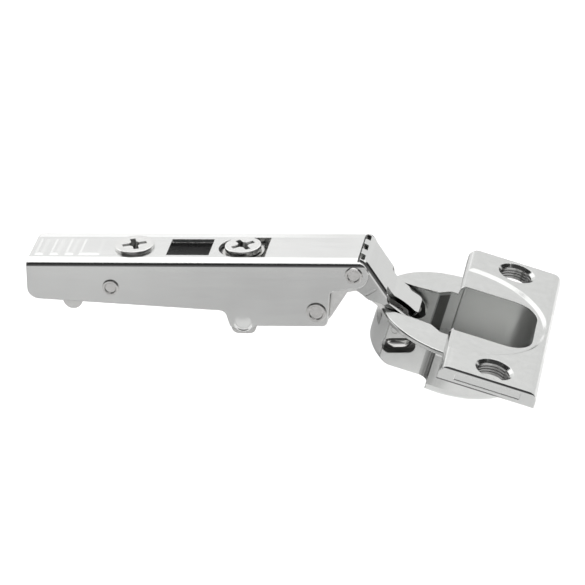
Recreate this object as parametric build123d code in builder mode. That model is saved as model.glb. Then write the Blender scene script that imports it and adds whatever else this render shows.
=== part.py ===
# Concealed cabinet hinge with a clip-on arm, shown fully open.
# X runs along the arm towards the cup, Y across it, Z up from the seat of the mounting plate.
import os
from math import cos, hypot, radians, sin, tan

from build123d import *

os.makedirs("parts", exist_ok=True)

# Pivots, seen from the side; places along the arm and heights are all measured from pivot A
PIVOT_A_X = 24.8
PIVOT_A_Z = 14.3
PIVOT_B_X = -8.55
PIVOT_B_Z = -8.65
CUP_PIN_1_X = 7.1
CUP_PIN_1_Z = -14.3
CUP_PIN_2_X = 10.9
CUP_PIN_2_Z = -14.25
RUN_GAP = 0.06
FIT_GAP = 0.03
SIDE_GAP = 0.1

# Arm shell
ARM_WIDTH = 15.0
ARM_SHEET = 0.9
ARM_TOP = 2.9
ARM_REAR = -70.4
ARM_NOSE_R = 3.1
NOSE_START = 0.4
NOSE_END = 1.0
ARM_WEB_END = 0.8
ARM_REAR_LEAN = 0.5
ARM_REAR_DEPTH = 8.5
ARM_MID_DEPTH = 11.3
ARM_FRONT_DEPTH = 14.85
ARM_LOBE_DEPTH = 15.95
ARM_LOBE_REAR = -28.2
ARM_LOBE_FRONT = -21.6
ARM_FRONT_END = -5.9
ARM_STEP_DEPTH = 6.7
LOBE_SLANT = 0.8
FRONT_SLANT = 0.55
SHOULDER_RUN = 2.6
SHOULDER_DROP = 0.25
SHOULDER_R = 0.6
REAR_CORNER_R = 2.4
FRONT_CORNER_R = 1.2
STEP_FILLET_R = 1.4
LOBE_R = 0.9
LOBE_FILLET_R = 1.6
GRIP_RAISE = 0.2
GRIP_TAPER = 70.0
GRIP_WIDTH = 8.0
GRIP_RIB = 1.95
GRIP_PITCH = 3.3
GRIP_COUNT = 3
GRIP_START = -69.4
GRIP_PAD = 4.6
GRIP_PAD_START = -59.75
PLATE_SLOT_X = -36.1
PLATE_SLOT_LENGTH = 9.2
PLATE_SLOT_WIDTH = 7.7
SIDE_WINDOW_WIDTH = 9.4
SIDE_WINDOW_X = -25.2
SIDE_WINDOW_END = -19.3

# Screws
DEPTH_SCREW_X = -48.2
DEPTH_HEAD_D = 8.5
DEPTH_HEAD_H = 0.7
DEPTH_SHANK_D = 5.0
DEPTH_SLOT_LENGTH = 7.6
DEPTH_CROSS_TURN = 20.0
HEAD_GAP = 0.05
HEAD_EDGE = 0.18
SIDE_SCREW_X = -24.65
SIDE_HEAD_D = 7.8
SIDE_HEAD_H = 1.1
SIDE_HEAD_PROUD = 0.65
SIDE_SHANK_D = 5.0
SIDE_SHANK_L = 6.0
SIDE_CROSS_TURN = 35.0
COLLAR_D = 9.0
COLLAR_NECK_D = 6.8
COLLAR_TOP_DROP = 0.75
COLLAR_H = 4.4
CROSS_SLOT = 1.15
CROSS_SPAN = 5.2
CROSS_DEPTH = 1.5
CROSS_CORE_D = 2.4
CROSS_TAPER = 18.0
NUT_SIDE = 6.8
NUT_CORNER_R = 0.6
NUT_H = 2.6

# Clip carrier inside the shell
CARRIER_GAP = 0.2
CARRIER_SHEET = 0.9
CARRIER_REAR = -66.5
CARRIER_FRONT = -20.6
CARRIER_DEPTH = 7.6
CARRIER_TRAVEL = 2.6
HOOK_REAR = -27.3
HOOK_FRONT = -22.0
HOOK_R = 1.5
HOOK_MOUTH = 2.2
HOOK_MOUTH_Z = 4.2

# Release lever at the rear
LEVER_PIVOT_X = -52.5
LEVER_PIVOT_Z = -3.05
LEVER_SIDE = 0.7
LEVER_SHEET = 0.9
LEVER_EYE_R = 2.3
LEVER_HEEL_X = -64.2
LEVER_HEEL_Z = -2.2
LEVER_HEEL_R = 1.2
LEVER_TOE_X = -61.8
LEVER_TOE_Z = -7.3
LEVER_TOE_R = 2.1
LEVER_PAD_FRONT = -59.6
LEVER_SPRING_X = -62.4
LEVER_SPRING_SEAT = -3.6
LEVER_SPRING_D = 4.0
LEVER_SPRING_WIRE = 0.5
LEVER_SPRING_TURNS = 4.0

# Rivets
REAR_RIVET_D = 2.2
REAR_HEAD_D = 3.7
LOWER_RIVET_D = 3.0
LOWER_HEAD_D = 4.5
NOSE_PIN_D = 2.4
NOSE_HEAD_D = 3.9
RIVET_HEAD_H = 0.5
RIVET_HEAD_TAPER = 20.0
RIVET_DISH = 0.7
RIVET_DISH_DEPTH = 0.3
RIVET_DISH_TAPER = 35.0
SPACER_WALL = 0.5
WASHER_WALL = 0.85

# Outer link, its outline measured from pivot A
OUTER_SHEET = 1.0
OUTER_WRAP_R = 3.6
OUTER_WRAP_START = 70.0
OUTER_WEB_ANGLE = -60.6
OUTER_WEB_L = 9.35
OUTER_TIP_ANGLE = -41.7
OUTER_TIP_L = 6.5
OUTER_KNEE_R = 6.0
OUTER_BEND_R = 0.95
OUTER_EYE_R = 1.85
OUTER_EYE_LEFT_ANGLE = 200.0
OUTER_EYE_TOP_ANGLE = 90.0
OUTER_CUP_EYE_R = 2.3
OUTER_CHEST = (5.76, -7.26)
OUTER_BELLY = (2.52, -6.11)
OUTER_CHIN = (0.27, -3.9)
OUTER_BELLY_R = 1.6
OUTER_NOTCH = 2.4
OUTER_NOTCH_PITCH = 4.75
OUTER_NOTCH_ANGLE = 52.0
SLOT_START = 6.8
TONGUE_GAP = 0.2
TONGUE_WAIST = 0.75
TONGUE_R = 1.0
FLANK_DROP = 1.1
FLANK_RUN = 2.2
CREASE_LOW = (2.3, -5.0)
CREASE_HIGH = (4.3, -3.8)
CREASE_WIDTH = 0.45
CREASE_DEPTH = 0.15

# Inner link, its outline measured from pivot A
INNER_SHEET = 1.15
INNER_EYE_R = 3.4
INNER_CUP_EYE_R = 2.1
INNER_WEB = 1.1
INNER_WEB_START = -7.0
INNER_WEB_END = -1.4
INNER_BACK = (-3.4, -2.9)
INNER_CROWN = (1.5, -2.9)
INNER_SHOULDER = (3.8, -3.6)
INNER_NECK_OUT = (7.3, -9.6)
INNER_NECK_IN = (5.6, -10.4)
INNER_ELBOW = (4.2, -7.95)
INNER_ARCH_FRONT = (1.65, -5.75)
INNER_ARCH_TOP = (0.0, -4.55)
INNER_ARCH_REAR = (-2.0, -4.95)
INNER_EYE_TOP_ANGLE = 112.0
INNER_EYE_LOW_ANGLE = -32.4
INNER_EYE_REAR_ANGLE = 220.0
INNER_ROUND = 1.0
HOOK_CLEAR = 0.12
HOOK_DRIFT = ((0.07, -0.6), (-0.66, -0.91), (-0.81, -1.6), (-0.4, -2.4), (-0.81, -3.4))

# Closing spring and its seat
SPRING_SIDE = 1.6
SPRING_SHEET = 0.6
SPRING_BEND_R = 1.4
SPRING_HOLD = 2.6
SPRING_TIP_L = 2.6
SPRING_ANGLE = 140.0
SEAT_REAR = -18.6
SEAT_FRONT = -13.6
SEAT_TOP = -2.6
SEAT_HEIGHT = 3.4
SEAT_R = 0.6

# Cup, in its own tilted plane: u away from the arm, Y across, v out of the door face
CUP_TILT = 19.1
CUP_LINE_X = 30.65
CUP_LINE_Z = -13.95
CUP_HOLE_SIDE = 5.15
CUP_FRONT_U = -26.85
CUP_BODY_R = 17.35
CUP_RIM = 0.45
CUP_DEPTH = 13.0
CUP_FLOOR = 11.6
CUP_WALL = 1.15
CUP_BOTTOM_EDGE = 2.0
CUP_ROOT_H = 0.5
CUP_ROOT_TAPER = 11.0
FLANGE_U_MIN = -11.0
FLANGE_REACH = 2.15
FLANGE_END = 5.0
FLANGE_H = 3.3
FLANGE_ROLL_R = 2.0
FLANGE_EDGE_R = 0.2
PANEL_SIDE = 3.5
PANEL_EDGE = 0.9
PANEL_DEPTH = 0.15
RIM_DROP = 2.36
RIM_EDGE_R = 0.3
DISH_REACH = 1.25
DISH_SLOPE = 0.8
DISH_DROP = 0.5
POCKET_U_MIN = -10.2
POCKET_WALL = 1.25
POCKET_WIDTH = 20.4
POCKET_R = 5.5
POCKET_REAR_R = 0.4
THROAT_NARROW_U = -20.0
THROAT_GAP = 0.5
THROAT_WIDE_U = -15.0
THROAT_WIDE = 0.5
THROAT_FLARE_U = -12.6
THROAT_FLARE = 2.6
MOUTH_U = -28.0
MOUTH_DROP = 6.4
SIDE_FLAT = 10.6
SIDE_FLAT_U = -12.4
SIDE_FLAT_R = 2.0
WIRE_POCKET_DEPTH = 2.1
WIRE_POCKET_R = 1.7
WIRE_POCKET_DROP = 0.5
RELIEF_U_MIN = -21.6
RELIEF_U_MAX = -8.4
RELIEF_SIDE = 0.3
RELIEF_DROP = 12.1
BORE_R = 3.4
BORE_LIP = 0.7

# Wire pins of the cup
WIRE_D = 1.9
WIRE_BEND_R = 1.3
WIRE_SINK = 0.3
WIRE_END_GAP = 0.15

# Places in the part's frame
pivot_b_x = PIVOT_A_X + PIVOT_B_X
pivot_b_z = PIVOT_A_Z + PIVOT_B_Z
cup_pin_1_x = PIVOT_A_X + CUP_PIN_1_X
cup_pin_1_z = PIVOT_A_Z + CUP_PIN_1_Z
cup_pin_2_x = PIVOT_A_X + CUP_PIN_2_X
cup_pin_2_z = PIVOT_A_Z + CUP_PIN_2_Z
arm_top = PIVOT_A_Z + ARM_TOP
arm_rear = PIVOT_A_X + ARM_REAR
arm_web_end = PIVOT_A_X + ARM_WEB_END
arm_lobe_rear = PIVOT_A_X + ARM_LOBE_REAR
arm_lobe_front = PIVOT_A_X + ARM_LOBE_FRONT
arm_front_end = PIVOT_A_X + ARM_FRONT_END
grip_start = PIVOT_A_X + GRIP_START
grip_pad_start = PIVOT_A_X + GRIP_PAD_START
plate_slot_x = PIVOT_A_X + PLATE_SLOT_X
side_window_x = PIVOT_A_X + SIDE_WINDOW_X
side_window_end = PIVOT_A_X + SIDE_WINDOW_END
depth_screw_x = PIVOT_A_X + DEPTH_SCREW_X
side_screw_x = PIVOT_A_X + SIDE_SCREW_X
carrier_rear = PIVOT_A_X + CARRIER_REAR
carrier_front = PIVOT_A_X + CARRIER_FRONT
hook_rear = PIVOT_A_X + HOOK_REAR
hook_front = PIVOT_A_X + HOOK_FRONT
lever_pivot_x = PIVOT_A_X + LEVER_PIVOT_X
lever_pivot_z = PIVOT_A_Z + LEVER_PIVOT_Z
lever_heel_x = PIVOT_A_X + LEVER_HEEL_X
lever_heel_z = PIVOT_A_Z + LEVER_HEEL_Z
lever_toe_x = PIVOT_A_X + LEVER_TOE_X
lever_toe_z = PIVOT_A_Z + LEVER_TOE_Z
lever_pad_front = PIVOT_A_X + LEVER_PAD_FRONT
lever_spring_x = PIVOT_A_X + LEVER_SPRING_X
lever_spring_seat = PIVOT_A_Z + LEVER_SPRING_SEAT
seat_rear = PIVOT_A_X + SEAT_REAR
seat_front = PIVOT_A_X + SEAT_FRONT
seat_top = PIVOT_A_Z + SEAT_TOP
cup_line_x = PIVOT_A_X + CUP_LINE_X
cup_line_z = PIVOT_A_Z + CUP_LINE_Z
cup_plane = Plane(
    origin=(cup_line_x, 0, cup_line_z),
    x_dir=(cos(radians(CUP_TILT)), 0, -sin(radians(CUP_TILT))),
    z_dir=(sin(radians(CUP_TILT)), 0, cos(radians(CUP_TILT))),
)
pivot_a = Vector(PIVOT_A_X, PIVOT_A_Z)
pivot_b = Vector(pivot_b_x, pivot_b_z)


def at(offset):
    """Side-view point measured from pivot A."""
    return (PIVOT_A_X + offset[0], PIVOT_A_Z + offset[1])


def around(centre, radius, angle):
    """Side-view point on a circle, its angle counted from X towards Z."""
    return (centre.X + radius * cos(radians(angle)), centre.Y + radius * sin(radians(angle)))


def corner(sketch, point):
    """The sketch vertex nearest to a point of the sketch's own plane."""
    return sketch.vertices().sort_by_distance((point[0], point[1], 0))[0]


def across(x, z, y):
    """Plane facing along Y through a side-view point, its X axis along X."""
    return Plane(origin=(x, y, z), x_dir=(1, 0, 0), z_dir=(0, 1, 0))


def cross_recess(x, top, turn):
    """Cross recess of a screw, cut down from the top of its head."""
    with BuildSketch(Plane(origin=(x, 0, top)).rotated((0, 0, turn))) as recess:
        Rectangle(CROSS_SPAN, CROSS_SLOT)
        Rectangle(CROSS_SLOT, CROSS_SPAN)
        Circle(CROSS_CORE_D / 2)
    extrude(recess.sketch, amount=-CROSS_DEPTH, taper=CROSS_TAPER, mode=Mode.SUBTRACT)


def rivet(x, z, shank_d, head_d):
    """Rivet across the arm with a dished head on each side."""
    with BuildSketch(across(x, z, 0)) as shank:
        Circle(shank_d / 2)
    extrude(shank.sketch, amount=ARM_WIDTH / 2, both=True)
    for way in (-1, 1):
        with BuildSketch(across(x, z, way * ARM_WIDTH / 2)) as head:
            Circle(head_d / 2)
        extrude(head.sketch, amount=way * RIVET_HEAD_H, taper=RIVET_HEAD_TAPER)
        with BuildSketch(across(x, z, way * (ARM_WIDTH / 2 + RIVET_HEAD_H))) as dish:
            Circle(RIVET_DISH * head_d / 2)
        extrude(dish.sketch, amount=-way * RIVET_DISH_DEPTH, taper=RIVET_DISH_TAPER, mode=Mode.SUBTRACT)


# Arm shell: pressed channel with slanted shoulders, open below
shell_inner = ARM_WIDTH / 2 - ARM_SHEET
shoulder_y = ARM_WIDTH / 2 - SHOULDER_RUN
shell_reach = 2 * (PIVOT_A_X - arm_rear)
rear_bottom = (arm_rear - ARM_REAR_LEAN, arm_top - ARM_REAR_DEPTH)
mid_bottom = (arm_lobe_rear, arm_top - ARM_MID_DEPTH)
lobe_rear = (arm_lobe_rear + LOBE_SLANT, arm_top - ARM_FRONT_DEPTH)
lobe_step = (arm_lobe_front, arm_top - ARM_FRONT_DEPTH)
lobe_low = ((lobe_rear[0] + lobe_step[0]) / 2, arm_top - ARM_LOBE_DEPTH)
front_bottom = (arm_front_end - FRONT_SLANT, arm_top - ARM_FRONT_DEPTH)
front_step = (arm_front_end + FRONT_SLANT, arm_top - ARM_STEP_DEPTH)
nose_low = (PIVOT_A_X - NOSE_START, PIVOT_A_Z - ARM_NOSE_R)
nose_top = (PIVOT_A_X + NOSE_END, arm_top)
with BuildPart() as arm_shell:
    with BuildSketch(Plane.XZ) as side:
        with BuildLine():
            Polyline(nose_top, (arm_rear, arm_top), rear_bottom, mid_bottom, lobe_rear)
            ThreePointArc(lobe_rear, lobe_low, lobe_step)
            Polyline(lobe_step, front_bottom, front_step, nose_low)
            ThreePointArc(nose_low, (PIVOT_A_X + ARM_NOSE_R, PIVOT_A_Z), nose_top)
        make_face()
        fillet(corner(side, rear_bottom), REAR_CORNER_R)
        fillet(corner(side, mid_bottom), LOBE_FILLET_R)
        fillet(corner(side, lobe_rear), LOBE_R)
        fillet(corner(side, front_bottom), FRONT_CORNER_R)
        fillet(corner(side, front_step), STEP_FILLET_R)
    extrude(amount=ARM_WIDTH / 2, both=True)
    with BuildSketch(Plane.YZ) as section:
        with BuildLine():
            Polyline(
                (-ARM_WIDTH / 2, -ARM_SHEET),
                (-ARM_WIDTH / 2, arm_top - SHOULDER_DROP),
                (-shoulder_y, arm_top),
                (shoulder_y, arm_top),
                (ARM_WIDTH / 2, arm_top - SHOULDER_DROP),
                (ARM_WIDTH / 2, -ARM_SHEET),
                close=True,
            )
        make_face()
        fillet(corner(section, (-ARM_WIDTH / 2, arm_top - SHOULDER_DROP)), SHOULDER_R)
        fillet(corner(section, (ARM_WIDTH / 2, arm_top - SHOULDER_DROP)), SHOULDER_R)
    extrude(amount=shell_reach, both=True, mode=Mode.INTERSECT)
    with BuildSketch(Plane.YZ):
        with Locations((0, arm_top - ARM_SHEET)):
            Rectangle(2 * shell_inner, 2 * arm_top, align=(Align.CENTER, Align.MAX))
    extrude(amount=shell_reach, both=True, mode=Mode.SUBTRACT)
    with BuildSketch(Plane.XY.offset(arm_top)):
        with Locations((arm_web_end, 0)):
            Rectangle(2 * ARM_NOSE_R, 2 * shell_inner, align=(Align.MIN, Align.CENTER))
        with Locations((depth_screw_x, 0)):
            SlotOverall(DEPTH_SLOT_LENGTH, DEPTH_SHANK_D + 2 * SIDE_GAP)
        with Locations((plate_slot_x, 0)):
            Rectangle(PLATE_SLOT_LENGTH, PLATE_SLOT_WIDTH)
        with Locations((side_window_x, 0)):
            Circle(SIDE_WINDOW_WIDTH / 2)
            Rectangle(
                side_window_end - side_window_x,
                SIDE_WINDOW_WIDTH,
                align=(Align.MIN, Align.CENTER),
            )
    extrude(amount=-2 * ARM_SHEET, mode=Mode.SUBTRACT)
    with BuildSketch(Plane.XY.offset(arm_top)):
        for rib in range(GRIP_COUNT):
            with Locations((grip_start + rib * GRIP_PITCH, 0)):
                Rectangle(GRIP_RIB, GRIP_WIDTH, align=(Align.MIN, Align.CENTER))
        with Locations((grip_pad_start, 0)):
            Rectangle(GRIP_PAD, GRIP_WIDTH, align=(Align.MIN, Align.CENTER))
    extrude(amount=GRIP_RAISE, taper=GRIP_TAPER)
    with BuildSketch(Plane.XZ):
        with Locations((lever_pivot_x, lever_pivot_z)):
            Circle(REAR_RIVET_D / 2 + FIT_GAP)
        with Locations((pivot_b_x, pivot_b_z)):
            Circle(LOWER_RIVET_D / 2 + FIT_GAP)
        with Locations((PIVOT_A_X, PIVOT_A_Z)):
            Circle(NOSE_PIN_D / 2 + FIT_GAP)
    extrude(amount=ARM_WIDTH, both=True, mode=Mode.SUBTRACT)
arm_shell.part.label = "arm_shell"
export_step(arm_shell.part, "parts/arm_shell.step")

# Clip carrier: inner channel with front hooks for the mounting plate
carrier_half = shell_inner - CARRIER_GAP
carrier_inner = carrier_half - CARRIER_SHEET
carrier_top = arm_top - ARM_SHEET - CARRIER_GAP
carrier_bottom = carrier_top - CARRIER_DEPTH
with BuildPart() as clip_carrier:
    with BuildSketch(Plane.XZ) as side:
        with BuildLine():
            Polyline(
                (carrier_rear, carrier_top),
                (carrier_front, carrier_top),
                (carrier_front, carrier_bottom),
                (hook_front, carrier_bottom),
                (hook_front, 0),
                (hook_rear, 0),
                (hook_rear, carrier_bottom),
                (carrier_rear, carrier_bottom),
                close=True,
            )
        make_face()
        fillet(corner(side, (hook_front, 0)), HOOK_R)
        fillet(corner(side, (hook_rear, 0)), HOOK_R)
        with Locations((hook_rear, HOOK_MOUTH_Z)):
            Circle(HOOK_MOUTH / 2, mode=Mode.SUBTRACT)
    extrude(amount=carrier_half, both=True)
    with BuildSketch(Plane.YZ):
        with Locations((0, carrier_top - CARRIER_SHEET)):
            Rectangle(2 * carrier_inner, 2 * arm_top, align=(Align.CENTER, Align.MAX))
    extrude(amount=shell_reach, both=True, mode=Mode.SUBTRACT)
    with BuildSketch(Plane.XY.offset(carrier_top)):
        with Locations((depth_screw_x, 0)):
            Circle(DEPTH_SHANK_D / 2 + SIDE_GAP)
        with Locations((plate_slot_x, 0)):
            Rectangle(PLATE_SLOT_LENGTH + CARRIER_TRAVEL, PLATE_SLOT_WIDTH + CARRIER_SHEET)
        with Locations((side_screw_x, 0)):
            Circle(COLLAR_NECK_D / 2 + FIT_GAP)
    extrude(amount=-2 * CARRIER_SHEET, mode=Mode.SUBTRACT)
    with BuildSketch(Plane.XZ):
        with Locations((lever_pivot_x, lever_pivot_z)):
            SlotOverall(REAR_RIVET_D + CARRIER_TRAVEL, REAR_RIVET_D + 2 * RUN_GAP)
    extrude(amount=ARM_WIDTH, both=True, mode=Mode.SUBTRACT)
clip_carrier.part.label = "clip_carrier"
export_step(clip_carrier.part, "parts/clip_carrier.step")

# Depth screw: flat head over the shell, shank into the clamp nut
depth_head_z = arm_top + HEAD_GAP
nut_top = carrier_top - CARRIER_SHEET
with BuildPart() as depth_screw:
    with BuildSketch(Plane.XY.offset(depth_head_z)):
        with Locations((depth_screw_x, 0)):
            Circle(DEPTH_HEAD_D / 2)
    extrude(amount=DEPTH_HEAD_H)
    fillet(depth_screw.faces().sort_by(Axis.Z)[-1].edges(), HEAD_EDGE)
    with BuildSketch(Plane.XY.offset(depth_head_z)):
        with Locations((depth_screw_x, 0)):
            Circle(DEPTH_SHANK_D / 2)
    extrude(amount=nut_top - NUT_H - depth_head_z)
    cross_recess(depth_screw_x, depth_head_z + DEPTH_HEAD_H, DEPTH_CROSS_TURN)
depth_screw.part.label = "depth_screw"
export_step(depth_screw.part, "parts/depth_screw.step")

# Clamp nut: square nut under the carrier
with BuildPart() as clamp_nut:
    with BuildSketch(Plane.XY.offset(nut_top)):
        with Locations((depth_screw_x, 0)):
            RectangleRounded(NUT_SIDE, NUT_SIDE, NUT_CORNER_R)
            Circle(DEPTH_SHANK_D / 2 + RUN_GAP, mode=Mode.SUBTRACT)
    extrude(amount=-NUT_H)
clamp_nut.part.label = "clamp_nut"
export_step(clamp_nut.part, "parts/clamp_nut.step")

# Side collar: threaded bush riveted into the carrier
collar_top = arm_top - COLLAR_TOP_DROP
with BuildPart() as side_collar:
    with BuildSketch(Plane.XY.offset(carrier_top)):
        with Locations((side_screw_x, 0)):
            Circle(COLLAR_D / 2)
    extrude(amount=collar_top - carrier_top)
    with BuildSketch(Plane.XY.offset(carrier_top)):
        with Locations((side_screw_x, 0)):
            Circle(COLLAR_NECK_D / 2)
    extrude(amount=-COLLAR_H)
    with BuildSketch(Plane.XY.offset(collar_top)):
        with Locations((side_screw_x, 0)):
            Circle(SIDE_SHANK_D / 2 + RUN_GAP)
    extrude(amount=-2 * COLLAR_H, mode=Mode.SUBTRACT)
side_collar.part.label = "side_collar"
export_step(side_collar.part, "parts/side_collar.step")

# Side screw: pan head in the window, shank through the collar
side_head_top = arm_top + SIDE_HEAD_PROUD
with BuildPart() as side_screw:
    with BuildSketch(Plane.XY.offset(side_head_top)):
        with Locations((side_screw_x, 0)):
            Circle(SIDE_HEAD_D / 2)
    extrude(amount=-SIDE_HEAD_H)
    fillet(side_screw.faces().sort_by(Axis.Z)[-1].edges(), HEAD_EDGE)
    with BuildSketch(Plane.XY.offset(side_head_top - SIDE_HEAD_H)):
        with Locations((side_screw_x, 0)):
            Circle(SIDE_SHANK_D / 2)
    extrude(amount=-SIDE_SHANK_L)
    cross_recess(side_screw_x, side_head_top, SIDE_CROSS_TURN)
side_screw.part.label = "side_screw"
export_step(side_screw.part, "parts/side_screw.step")

# Release lever: rocks on the rear rivet, its toes reach below the shell
lever_half = carrier_inner - LEVER_SIDE
lever_inner = lever_half - LEVER_SHEET
with BuildPart() as release_lever:
    with BuildSketch(Plane.XZ):
        with Locations((lever_pivot_x, lever_pivot_z)):
            Circle(LEVER_EYE_R)
        with Locations((lever_heel_x, lever_heel_z)):
            Circle(LEVER_HEEL_R)
        make_hull()
    extrude(amount=lever_half, both=True)
    with BuildSketch(Plane.XZ):
        with Locations((lever_toe_x, lever_toe_z), (lever_toe_x, lever_pivot_z)):
            Circle(LEVER_TOE_R)
        make_hull()
    extrude(amount=lever_half, both=True)
    with BuildSketch(Plane.XZ):
        with Locations((lever_pad_front, lever_pivot_z)):
            Rectangle(shell_reach, shell_reach, align=(Align.MIN, Align.CENTER))
    extrude(amount=lever_inner, both=True, mode=Mode.SUBTRACT)
    with BuildSketch(Plane.XY.offset(lever_spring_seat)):
        with Locations((lever_spring_x, 0)):
            Circle(LEVER_SPRING_D / 2 + CARRIER_GAP)
    extrude(amount=LEVER_SPRING_D, mode=Mode.SUBTRACT)
    with BuildSketch(Plane.XZ):
        with Locations((lever_pivot_x, lever_pivot_z)):
            Circle(REAR_RIVET_D / 2 + RUN_GAP)
    extrude(amount=ARM_WIDTH, both=True, mode=Mode.SUBTRACT)
release_lever.part.label = "release_lever"
export_step(release_lever.part, "parts/release_lever.step")

# Lever spring: coil between the lever's pad and the carrier
spring_start = lever_spring_seat + LEVER_SPRING_WIRE / 2 + SIDE_GAP
spring_rise = nut_top - LEVER_SPRING_WIRE / 2 - SIDE_GAP - spring_start
with BuildPart() as lever_spring:
    with BuildLine() as coil:
        Helix(
            pitch=spring_rise / LEVER_SPRING_TURNS,
            height=spring_rise,
            radius=(LEVER_SPRING_D - LEVER_SPRING_WIRE) / 2,
            center=(lever_spring_x, 0, spring_start),
        )
    with BuildSketch(Plane(origin=coil.line @ 0, z_dir=coil.line % 0)):
        Circle(LEVER_SPRING_WIRE / 2)
    sweep(path=coil.line, is_frenet=True)
lever_spring.part.label = "lever_spring"
export_step(lever_spring.part, "parts/lever_spring.step")

# Rivets of the arm
with BuildPart() as rear_rivet:
    rivet(lever_pivot_x, lever_pivot_z, REAR_RIVET_D, REAR_HEAD_D)
rear_rivet.part.label = "rear_rivet"
export_step(rear_rivet.part, "parts/rear_rivet.step")

with BuildPart() as lower_rivet:
    rivet(pivot_b_x, pivot_b_z, LOWER_RIVET_D, LOWER_HEAD_D)
lower_rivet.part.label = "lower_rivet"
export_step(lower_rivet.part, "parts/lower_rivet.step")

with BuildPart() as nose_pin:
    rivet(PIVOT_A_X, PIVOT_A_Z, NOSE_PIN_D, NOSE_HEAD_D)
nose_pin.part.label = "nose_pin"
export_step(nose_pin.part, "parts/nose_pin.step")

# Outer link: folded strap from the arm's nose into the cup, with a window beside each flank
outer_half = shell_inner - SIDE_GAP
outer_inner = outer_half - OUTER_SHEET
inner_half = outer_inner - SIDE_GAP
wrap_end = OUTER_WEB_ANGLE + 90
tip_out = (-sin(radians(OUTER_TIP_ANGLE)), cos(radians(OUTER_TIP_ANGLE)))
web_out = (-sin(radians(OUTER_WEB_ANGLE)), cos(radians(OUTER_WEB_ANGLE)))


def strap_line(depth):
    """Start, middle and end of the wrap, then knee and tip, at a depth below the strap's outside."""
    radius = OUTER_WRAP_R - depth
    start = around(pivot_a, radius, OUTER_WRAP_START)
    middle = around(pivot_a, radius, (OUTER_WRAP_START + wrap_end) / 2)
    straight = around(pivot_a, radius, wrap_end)
    shift = depth * tan(radians((OUTER_TIP_ANGLE - OUTER_WEB_ANGLE) / 2))
    knee = around(Vector(*straight), OUTER_WEB_L + shift, OUTER_WEB_ANGLE)
    tip = around(Vector(*knee), OUTER_TIP_L + shift, OUTER_TIP_ANGLE)
    return start, middle, straight, knee, tip


outside = strap_line(0)
inside = strap_line(OUTER_SHEET)


def on_strap(point):
    """True for a point on the outside of the strap's bend line, above its tip."""
    reach = (point.X - PIVOT_A_X) * web_out[0] + (point.Z - PIVOT_A_Z) * web_out[1]
    return reach > OUTER_WRAP_R - OUTER_SHEET / 2 and point.Z > outside[-1][1]


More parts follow.
